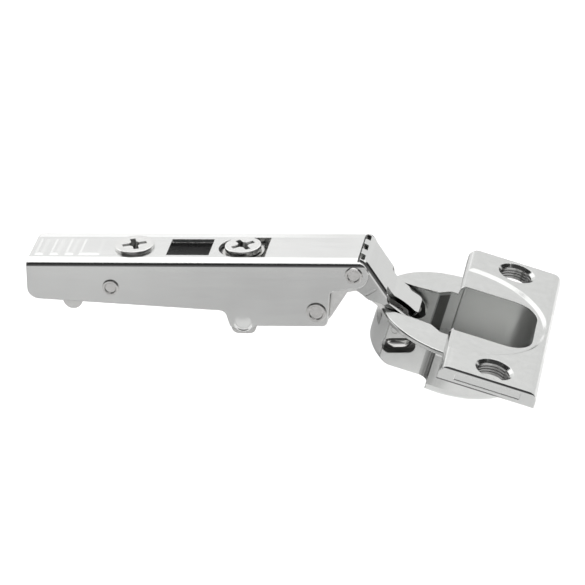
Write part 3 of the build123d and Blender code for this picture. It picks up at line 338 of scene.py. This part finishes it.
arm_low, arm_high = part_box("arm_shell")
button_points = []
button_faces = []
for side, wall_y in ((-1, arm_low[1]), (1, arm_high[1])):
    first = len(button_points)
    for ring in range(BUTTON_RINGS + 1):
        share = ring / BUTTON_RINGS
        for sector in range(BUTTON_SECTORS):
            angle = 2 * math.pi * sector / BUTTON_SECTORS
            lean = (1 - share * math.sin(angle)) / 2
            lift = BUTTON_RAISE * lean**2 * (1 - smooth_step(share, BUTTON_LIP, 1.0))
            button_points.append(
                (
                    BUTTON_X + BUTTON_R * share * math.cos(angle),
                    wall_y + side * (lift - BUTTON_SINK),
                    BUTTON_Z + BUTTON_R * share * math.sin(angle),
                )
            )
    for ring in range(BUTTON_RINGS):
        for sector in range(BUTTON_SECTORS):
            after = (sector + 1) % BUTTON_SECTORS
            inner = first + ring * BUTTON_SECTORS
            outer = inner + BUTTON_SECTORS
            corners = [inner + sector, outer + sector, outer + after, inner + after]
            button_faces.append(corners if side < 0 else corners[::-1])
button_mesh = bpy.data.meshes.new("lobe_buttons")
button_mesh.from_pydata(button_points, [], button_faces)
button_mesh.validate()
button_mesh.materials.append(arm_satin)
lobe_buttons = smooth_piece("lobe_buttons", button_mesh)
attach(lobe_buttons, "arm")

# Rivets: plain steel pins across the arm, headed cold on both sides so each head keeps a
# shallow dish from the riveting tool. They carry the lever, the inner link and the outer link,
# with spacer tubes and washers of the same steel between the walls.
rivet_finish = plated(
    "rivet_finish",
    light=(0.7, 0.692, 0.68),
    dull=(0.6, 0.592, 0.58),
    rough=(0.18, 0.28),
    grain=1.6,
    relief=0.15,
)
dress(["rear_rivet", "lower_rivet", "nose_pin"], rivet_finish)
dress(["nose_spacer", "lower_spacer", "lower_washers"], rivet_finish)

# Inner link and closing spring: the hooked strap under the outer link and the bent leaf that
# snaps the door shut, with the zinc block that holds the leaf's root.
inner_finish = plated(
    "inner_finish",
    light=(0.83, 0.825, 0.815),
    dull=(0.76, 0.755, 0.745),
    rough=(0.15, 0.24),
    grain=0.9,
    stretch=(1, 0.3, 1),
    relief=0.06,
)
dress(["inner_link"], inner_finish)
dress(["closing_spring"], spring_wire)
dress(["spring_seat"], turned_steel)

# Outer link: the broad strap folded over the nose pin, with its tongue reaching into the cup.
# Blanked from bright rolled strip, so it mirrors more sharply than the arm. Its flanks carry
# painted shade where they turn in the cup.
FLANK_SHADE_TONE = (0.04, 0.04, 0.04)
FLANK_FROM_X = 31.5 * MM
FLANK_FULL_X = 33.0 * MM
FLANK_END_X = 37.5 * MM
FLANK_TURN = 0.55

outer_finish = plated(
    "outer_finish",
    light=(0.66, 0.665, 0.655),
    dull=(0.62, 0.625, 0.615),
    rough=(0.1, 0.16),
    grain=0.7,
    stretch=(1, 0.3, 1),
    relief=0.04,
)
outer_tree = outer_finish.node_tree
outer_x, _, _ = place_in(outer_tree)
facing = outer_tree.nodes.new("ShaderNodeTexCoord")
facing_parts = outer_tree.nodes.new("ShaderNodeSeparateXYZ")
link(outer_tree, facing.outputs["Normal"], facing_parts.inputs["Vector"])
# Painted shade: the flanks darken towards the pivot in the cup.
painted_flank_shade = all_of(
    outer_tree,
    above(outer_tree, number(outer_tree, "ABSOLUTE", facing_parts.outputs["Y"]), FLANK_TURN),
    rising(outer_tree, outer_x, FLANK_FROM_X, FLANK_FULL_X),
    below(outer_tree, outer_x, FLANK_END_X),
)
toned(outer_finish, FLANK_SHADE_TONE, painted_flank_shade)
dress(["outer_link"], outer_finish)

# Hinge cup: a zinc die casting with its flange, tumbled and nickel plated to a soft shine,
# rougher in the pocket where no stone reaches. The threaded holes, wire pockets and side
# grooves get painted shade, the flange's end faces a painted lighter tone with painted dark
# reflection lines at their edges; ejector pins left a ring on each flat.
CUP_TILT = 19.1
CUP_ORIGIN = (55.45 * MM, 0, 0.35 * MM)
CUP_EDGE = 0.25 * MM
HOLE_PITCH = 45.0 * MM
HOLE_SHADE_TONE = (0.3, 0.3, 0.295)
HOLE_SHADE_R = 3.5 * MM
HOLE_SHADE_START = -0.5 * MM
HOLE_SHADE_FULL = -1.2 * MM
HOLE_THREAD_R = 3.38 * MM
HOLE_THREAD_RIDGE = 0.14 * MM
HOLE_THREAD_LOW = -3.15 * MM
HOLE_THREAD_RISE = 2.2 * MM
HOLE_THREAD_TURNS = 3.5
FLANGE_U_MIN = -11.0 * MM
FLANGE_U_ON = -10.9 * MM
POCKET_ROUGH = 0.34
POCKET_TONE = (0.78, 0.785, 0.775)
POCKET_ROUGH_V = -2.7 * MM
POCKET_ROUGH_RISE = 2.1 * MM
POCKET_ROUGH_Y = 10.35 * MM
WIRE_POCKET_SHADE_TONE = (0.28, 0.28, 0.275)
WIRE_POCKET_U = (-23.0 * MM, -12.5 * MM)
WIRE_POCKET_Y = (7.8 * MM, 10.5 * MM)
WIRE_POCKET_V = -3.2 * MM
GROOVE_SHADE_TONE = (0.26, 0.26, 0.255)
GROOVE_FROM_U = -14.4 * MM
GROOVE_FULL_U = -13.5 * MM
GROOVE_END_U = -12.45 * MM
GROOVE_Y = 10.4 * MM
GROOVE_V = -3.4 * MM
END_PAINTED_LIGHT = (0.76, 0.765, 0.755)
END_Y = 27.28 * MM
TOP_EDGE_REFLECTION_TONE = (0.1, 0.1, 0.1)
TOP_EDGE_REFLECTION_V = -0.42 * MM
LOW_EDGE_REFLECTION_TONE = (0.22, 0.22, 0.22)
LOW_EDGE_REFLECTION_V = -3.02 * MM
LOW_EDGE_REFLECTION_U = (4.0 * MM, 0.5 * MM)
SIDE_FLAT = 10.6 * MM
MARK_U = -21.9 * MM
MARK_V = -4.7 * MM
MARK_R = 0.75 * MM
MARK_RIDGE = 0.14 * MM
RIDGE_STEPS = 48
RIDGE_SIDES = 8
RIDGE_COPIES = 2

cup_finish = plated(
    "cup_finish",
    light=(0.665, 0.67, 0.66),
    dull=(0.555, 0.56, 0.55),
    rough=(0.13, 0.2),
    grain=0.6,
    relief=0.08,
    edge=CUP_EDGE,
    drift=0.4,
)
cup_tree = cup_finish.node_tree
cup_u, cup_y, cup_v = place_in(cup_tree, CUP_ORIGIN, math.radians(CUP_TILT))
aside = number(cup_tree, "ABSOLUTE", cup_y)
# Painted shade: darker down in both threaded holes, threads included.
painted_hole_shade = all_of(
    cup_tree,
    within(cup_tree, cup_u, aside, (0, HOLE_PITCH / 2), HOLE_SHADE_R),
    rising(cup_tree, cup_v, HOLE_SHADE_START, HOLE_SHADE_FULL),
)
toned(cup_finish, HOLE_SHADE_TONE, painted_hole_shade)
under_flange = rising(cup_tree, cup_u, FLANGE_U_MIN, FLANGE_U_ON)
pocket_top = number(cup_tree, "MULTIPLY_ADD", under_flange, POCKET_ROUGH_RISE, POCKET_ROUGH_V)
in_pocket = all_of(
    cup_tree,
    below(cup_tree, cup_v, pocket_top),
    below(cup_tree, aside, POCKET_ROUGH_Y),
)
toned(cup_finish, POCKET_TONE, in_pocket)
# Painted shade: the wire pockets on the side flats are darkened.
painted_wire_pocket_shade = all_of(
    cup_tree,
    below(cup_tree, cup_v, WIRE_POCKET_V),
    above(cup_tree, cup_u, WIRE_POCKET_U[0]),
    below(cup_tree, cup_u, WIRE_POCKET_U[1]),
    above(cup_tree, aside, WIRE_POCKET_Y[0]),
    below(cup_tree, aside, WIRE_POCKET_Y[1]),
)
toned(cup_finish, WIRE_POCKET_SHADE_TONE, painted_wire_pocket_shade)
# Painted shade: the side grooves between the flats and the flange are darkened.
painted_groove_shade = all_of(
    cup_tree,
    rising(cup_tree, cup_u, GROOVE_FROM_U, GROOVE_FULL_U),
    below(cup_tree, cup_u, GROOVE_END_U),
    above(cup_tree, aside, GROOVE_Y),
    below(cup_tree, cup_v, GROOVE_V),
)
toned(cup_finish, GROOVE_SHADE_TONE, painted_groove_shade)
# Painted light: the flange's end faces get a lighter tone.
on_end = above(cup_tree, aside, END_Y)
toned(cup_finish, END_PAINTED_LIGHT, on_end)
# Painted reflection: a dark line along the top edge of each end face.
painted_top_edge_reflection = all_of(cup_tree, on_end, above(cup_tree, cup_v, TOP_EDGE_REFLECTION_V))
toned(cup_finish, TOP_EDGE_REFLECTION_TONE, painted_top_edge_reflection)
# Painted reflection: a dark line along the low edge of each end face, fading out across it.
painted_low_edge_reflection = all_of(
    cup_tree,
    on_end,
    below(cup_tree, cup_v, LOW_EDGE_REFLECTION_V),
    rising(cup_tree, cup_u, *LOW_EDGE_REFLECTION_U),
)
toned(cup_finish, LOW_EDGE_REFLECTION_TONE, painted_low_edge_reflection)
cup_gloss = cup_tree.nodes["Principled BSDF"].inputs["Roughness"]
as_cast = cup_tree.nodes.new("ShaderNodeMix")
as_cast.inputs["B"].default_value = POCKET_ROUGH
link(cup_tree, in_pocket, as_cast.inputs["Factor"])
link(cup_tree, cup_gloss.links[0].from_socket, as_cast.inputs["A"])
link(cup_tree, as_cast.outputs["Result"], cup_gloss)
dress(["hinge_cup"], cup_finish)


def ridge_tree():
    """Node tree: a spiral ridge at both ends of a line across the hinge, turned and placed."""
    tree = bpy.data.node_groups.new("spiral_ridges", "GeometryNodeTree")
    tree.interface.new_socket("Geometry", in_out="OUTPUT", socket_type="NodeSocketGeometry")
    for label, kind in (
        ("Turns", "NodeSocketFloat"),
        ("Radius", "NodeSocketFloat"),
        ("Rise", "NodeSocketFloat"),
        ("Ridge", "NodeSocketFloat"),
        ("Lean", "NodeSocketVector"),
        ("First", "NodeSocketVector"),
        ("Step", "NodeSocketVector"),
        ("Turn", "NodeSocketVector"),
        ("Place", "NodeSocketVector"),
        ("Finish", "NodeSocketMaterial"),
    ):
        tree.interface.new_socket(label, in_out="INPUT", socket_type=kind)
    given = tree.nodes.new("NodeGroupInput")
    spiral = tree.nodes.new("GeometryNodeCurveSpiral")
    spiral.inputs["Resolution"].default_value = RIDGE_STEPS
    profile = tree.nodes.new("GeometryNodeCurvePrimitiveCircle")
    profile.inputs["Resolution"].default_value = RIDGE_SIDES
    sweep = tree.nodes.new("GeometryNodeCurveToMesh")
    sweep.inputs["Fill Caps"].default_value = True
    line = tree.nodes.new("GeometryNodeMeshLine")
    line.inputs["Count"].default_value = RIDGE_COPIES
    copies = tree.nodes.new("GeometryNodeInstanceOnPoints")
    set_down = tree.nodes.new("GeometryNodeTransform")
    real = tree.nodes.new("GeometryNodeRealizeInstances")
    finish = tree.nodes.new("GeometryNodeSetMaterial")
    result = tree.nodes.new("NodeGroupOutput")
    link(tree, given.outputs["Turns"], spiral.inputs["Rotations"])
    link(tree, given.outputs["Radius"], spiral.inputs["Start Radius"])
    link(tree, given.outputs["Radius"], spiral.inputs["End Radius"])
    link(tree, given.outputs["Rise"], spiral.inputs["Height"])
    link(tree, given.outputs["Ridge"], profile.inputs["Radius"])
    link(tree, spiral.outputs["Curve"], sweep.inputs["Curve"])
    link(tree, profile.outputs["Curve"], sweep.inputs["Profile Curve"])
    link(tree, given.outputs["First"], line.inputs["Start Location"])
    link(tree, given.outputs["Step"], line.inputs["Offset"])
    link(tree, line.outputs["Mesh"], copies.inputs["Points"])
    link(tree, sweep.outputs["Mesh"], copies.inputs["Instance"])
    link(tree, given.outputs["Lean"], copies.inputs["Rotation"])
    link(tree, copies.outputs["Instances"], set_down.inputs["Geometry"])
    link(tree, given.outputs["Turn"], set_down.inputs["Rotation"])
    link(tree, given.outputs["Place"], set_down.inputs["Translation"])
    link(tree, set_down.outputs["Geometry"], real.inputs["Geometry"])
    link(tree, real.outputs["Geometry"], finish.inputs["Geometry"])
    link(tree, given.outputs["Finish"], finish.inputs["Material"])
    link(tree, finish.outputs["Geometry"], result.inputs["Geometry"])
    return tree


ridges = ridge_tree()


def ridge_piece(name, values):
    """Runs the ridge tree with the named values and keeps the result as one plain mesh."""
    maker = bpy.data.objects.new(name + "_maker", bpy.data.meshes.new(name + "_maker"))
    bpy.context.collection.objects.link(maker)
    modifier = maker.modifiers.new("ridges", "NODES")
    modifier.node_group = ridges
    for item in ridges.interface.items_tree:
        if item.in_out == "INPUT":
            modifier[item.identifier] = values[item.name]
    ready = maker.evaluated_get(bpy.context.evaluated_depsgraph_get())
    mesh = bpy.data.meshes.new_from_object(ready)
    maker.modifiers.remove(modifier)
    bpy.data.objects.remove(maker)
    mesh.name = name
    return smooth_piece(name, mesh)


cup_turn = (0.0, math.radians(CUP_TILT), 0.0)
hole_threads = ridge_piece(
    "hole_threads",
    {
        "Turns": HOLE_THREAD_TURNS,
        "Radius": HOLE_THREAD_R,
        "Rise": HOLE_THREAD_RISE,
        "Ridge": HOLE_THREAD_RIDGE,
        "Lean": (0.0, 0.0, 0.0),
        "First": (0.0, -HOLE_PITCH / 2, HOLE_THREAD_LOW),
        "Step": (0.0, HOLE_PITCH, 0.0),
        "Turn": cup_turn,
        "Place": CUP_ORIGIN,
        "Finish": cup_finish,
    },
)
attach(hole_threads, "cup")
ejector_marks = ridge_piece(
    "ejector_marks",
    {
        "Turns": 1.0,
        "Radius": MARK_R,
        "Rise": 0.0,
        "Ridge": MARK_RIDGE,
        "Lean": (math.radians(90), 0.0, 0.0),
        "First": (MARK_U, -SIDE_FLAT, MARK_V),
        "Step": (0.0, 2 * SIDE_FLAT, 0.0),
        "Turn": cup_turn,
        "Place": CUP_ORIGIN,
        "Finish": cup_finish,
    },
)
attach(ejector_marks, "cup")

# Pivot wires: one bent piece of hard steel wire in each side of the cup, polished and pressed
# into its pocket, so that its two legs are the pins of the links.
wire_finish = plated(
    "wire_finish",
    light=(0.76, 0.755, 0.74),
    dull=(0.68, 0.675, 0.66),
    rough=(0.12, 0.18),
    grain=1.5,
    relief=0.05,
)
dress(["wire_pins"], wire_finish)

# Studio: a pale floor below the hinge, a white surround and one broad soft lamp behind it.
# Cards seen only in reflections stand for the softbox overhead, a strip lamp far behind, the
# dark room on the camera's side, the grey table in front and the hinge's own shade.
WHITE = (1, 1, 1, 1)
FLOOR_DROP = 70 * MM
FLOOR_SIZE = 6.0
FLOOR_TONE = (0.5, 0.5, 0.5, 1)
FLOOR_ROUGH = 0.9
FLOOR_GLOW = 0.6
CARD_DROP = 28 * MM
CARD_HALF = 1.5
CARD_SPAN = (-CARD_HALF, CARD_HALF)
FALL_HALF = 0.06
BOX_LOW = (1.0, 0.62)
BOX_MIDDLE = (0.36, 1.2)
BOX_HIGH = (-0.2, 1.3)
BOX_SPLIT = -0.165
BOX_LEVEL = 1.7
STRIP_LOW = (2.0, 0.4)
STRIP_HIGH = (2.0, 0.7)
STRIP_END = -0.335
STRIP_LEVEL = 1.4
CEILING_LEVEL = 0.03
ROOM_Y = -0.36
ROOM_LOW_Z = 0.2
ROOM_SPLIT = 0.12
ROOM_LEVEL = 0.06
ROOM_LOW_LEVEL = 0.3
ROOM_END_LEVEL = 0.14
TABLE_Y = (-0.138, -0.081)
TABLE_SPLIT = 0.013
TABLE_LEFT = 0.66
TABLE_RIGHT = 0.42
TABLE_END = 0.74
TABLE_FAR_LEVEL = 0.95
FAR_LEVEL = 0.94
UNDER_X = (-0.07, 0.018)
UNDER_Y = (-0.03, 0.03)
UNDER_LEVEL = 0.15
BEHIND_X = (-0.09, 0.026)
BEHIND_Y = (0.03, 0.25)
BEHIND_LEVEL = 0.45
LEFT_X = (-0.45, -0.09)
LEFT_Y = (-0.06, 0.25)
LEFT_LEVEL = 0.36
SIDE_X = 1.3
SIDE_Y = 1.5
SIDE_HIGH = 0.8
SURROUND_SEEN = 1.0
SURROUND_SOFT = 0.45
LAMP_WIDTH = 1.6
LAMP_DEPTH = 0.9
LAMP_POWER = 14.0
LAMP_PLACE = (0.0, 0.75, 0.95)
LAMP_TILT = -38


def flat_sheet(name, corners):
    """A four-cornered sheet of the studio."""
    mesh = bpy.data.meshes.new(name)
    mesh.from_pydata(corners, [], [(0, 1, 2, 3)])
    sheet = bpy.data.objects.new(name, mesh)
    bpy.context.collection.objects.link(sheet)
    return sheet


def level_corners(span_x, span_y, z):
    """Corners of a level rectangle between two X and two Y values."""
    left, right = span_x
    near, far = span_y
    return [(left, near, z), (right, near, z), (right, far, z), (left, far, z)]


def flat_card(name, corners, left_level, right_level):
    """A stage card seen only in reflections, whose glow may change from its left to its right."""
    card = flat_sheet(name, corners)
    material = bpy.data.materials.new(name)
    material.use_nodes = True
    tree = material.node_tree
    tree.nodes.clear()
    glow = tree.nodes.new("ShaderNodeEmission")
    coords = tree.nodes.new("ShaderNodeTexCoord")
    place = tree.nodes.new("ShaderNodeSeparateXYZ")
    fall = tree.nodes.new("ShaderNodeMapRange")
    fall.inputs["From Min"].default_value = -FALL_HALF
    fall.inputs["From Max"].default_value = FALL_HALF
    fall.inputs["To Min"].default_value = left_level
    fall.inputs["To Max"].default_value = right_level
    output = tree.nodes.new("ShaderNodeOutputMaterial")
    link(tree, coords.outputs["Object"], place.inputs["Vector"])
    link(tree, place.outputs["X"], fall.inputs["Value"])
    link(tree, fall.outputs["Result"], glow.inputs["Strength"])
    link(tree, glow.outputs["Emission"], output.inputs["Surface"])
    card.data.materials.append(material)
    card.visible_camera = False
    card.visible_diffuse = False
    card.visible_shadow = False


def across_card(name, start, end, level, span_x=CARD_SPAN):
    """A card of one level between two points of the studio's side view, as wide as its span."""
    (y0, z0), (y1, z1) = start, end
    left, right = span_x
    corners = [(left, y0, z0), (right, y0, z0), (right, y1, z1), (left, y1, z1)]
    flat_card(name, corners, level, level)


def level_card(name, span_x, span_y, level):
    """A card of one level lying over the floor."""
    flat_card(name, level_corners(span_x, span_y, card_z), level, level)


floor_z = cad_bounds[0][2] - FLOOR_DROP
floor_half = FLOOR_SIZE / 2
floor_span = (-floor_half, floor_half)
floor = flat_sheet("floor", level_corners(floor_span, floor_span, floor_z))
pale = bpy.data.materials.new("pale_floor")
pale.use_nodes = True
pale_shader = pale.node_tree.nodes["Principled BSDF"]
pale_shader.inputs["Roughness"].default_value = FLOOR_ROUGH
pale_shader.inputs["Base Color"].default_value = FLOOR_TONE
pale_shader.inputs["Emission Color"].default_value = WHITE
pale_shader.inputs["Emission Strength"].default_value = FLOOR_GLOW
floor.data.materials.append(pale)

card_z = cad_bounds[0][2] - CARD_DROP
across_card("card_softbox", BOX_LOW, BOX_MIDDLE, BOX_LEVEL)
across_card("card_strip", STRIP_LOW, STRIP_HIGH, STRIP_LEVEL, (-CARD_HALF, STRIP_END))
across_card("card_softbox_end", BOX_MIDDLE, BOX_HIGH, BOX_LEVEL, (BOX_SPLIT, CARD_HALF))
across_card("card_overhead", BOX_MIDDLE, BOX_HIGH, CEILING_LEVEL, (-CARD_HALF, BOX_SPLIT))
across_card("card_ceiling", BOX_HIGH, (ROOM_Y, BOX_HIGH[1]), CEILING_LEVEL)
across_card("card_room", (ROOM_Y, ROOM_LOW_Z), (ROOM_Y, BOX_HIGH[1]), ROOM_LEVEL)
room_low = [(ROOM_Y, card_z), (ROOM_Y, ROOM_LOW_Z)]
across_card("card_room_low", *room_low, ROOM_LOW_LEVEL, (-CARD_HALF, ROOM_SPLIT))
across_card("card_room_end", *room_low, ROOM_END_LEVEL, (ROOM_SPLIT, CARD_HALF))
level_card("card_table_far", CARD_SPAN, (ROOM_Y, TABLE_Y[0]), TABLE_FAR_LEVEL)
table_corners = level_corners((-CARD_HALF, TABLE_SPLIT), TABLE_Y, card_z)
flat_card("card_table", table_corners, TABLE_LEFT, TABLE_RIGHT)
level_card("card_table_end", (TABLE_SPLIT, CARD_HALF), TABLE_Y, TABLE_END)
level_card("card_far", CARD_SPAN, (BEHIND_Y[1], floor_half), FAR_LEVEL)
level_card("card_under", UNDER_X, UNDER_Y, UNDER_LEVEL)
level_card("card_behind", BEHIND_X, BEHIND_Y, BEHIND_LEVEL)
level_card("card_left", LEFT_X, LEFT_Y, LEFT_LEVEL)
side_corners = [
    (SIDE_X, ROOM_Y, 0),
    (SIDE_X, SIDE_Y, 0),
    (SIDE_X, SIDE_Y, SIDE_HIGH),
    (SIDE_X, ROOM_Y, SIDE_HIGH),
]
flat_card("card_side", side_corners, CEILING_LEVEL, CEILING_LEVEL)

world = bpy.data.worlds.new("surround")
bpy.context.scene.world = world
world.use_nodes = True
world_tree = world.node_tree
surround = world_tree.nodes["Background"]
surround.inputs["Color"].default_value = WHITE
rays = world_tree.nodes.new("ShaderNodeLightPath").outputs
seen = number(world_tree, "MAXIMUM", rays["Is Camera Ray"], rays["Is Glossy Ray"])
seen = number(world_tree, "MAXIMUM", seen, rays["Is Transmission Ray"])
surround_level = world_tree.nodes.new("ShaderNodeMapRange")
surround_level.inputs["To Min"].default_value = SURROUND_SOFT
surround_level.inputs["To Max"].default_value = SURROUND_SEEN
link(world_tree, seen, surround_level.inputs["Value"])
link(world_tree, surround_level.outputs["Result"], surround.inputs["Strength"])

lamp_data = bpy.data.lights.new("soft_lamp", "AREA")
lamp_data.shape = "RECTANGLE"
lamp_data.size = LAMP_WIDTH
lamp_data.size_y = LAMP_DEPTH
lamp_data.energy = LAMP_POWER
lamp = bpy.data.objects.new("soft_lamp", lamp_data)
lamp.location = LAMP_PLACE
lamp.rotation_euler = (math.radians(LAMP_TILT), 0, 0)
lamp.visible_glossy = False
bpy.context.collection.objects.link(lamp)

# Camera: a long lens well back from the hinge and above it, at the place and turn that the
# photo was taken from.
CAMERA_PLACE = (0.144984, -0.689126, 0.350675)
CAMERA_TURN = (63.82, 4.1115, 9.064)
CAMERA_LENS = 225.698
CAMERA_SENSOR = 36.0

camera_data = bpy.data.cameras.new("camera")
camera_data.lens = CAMERA_LENS
camera_data.sensor_width = CAMERA_SENSOR
camera = bpy.data.objects.new("camera", camera_data)
camera.location = CAMERA_PLACE
camera.rotation_euler = [math.radians(angle) for angle in CAMERA_TURN]
bpy.context.collection.objects.link(camera)
bpy.context.scene.camera = camera
bpy.context.scene.view_settings.view_transform = "Standard"
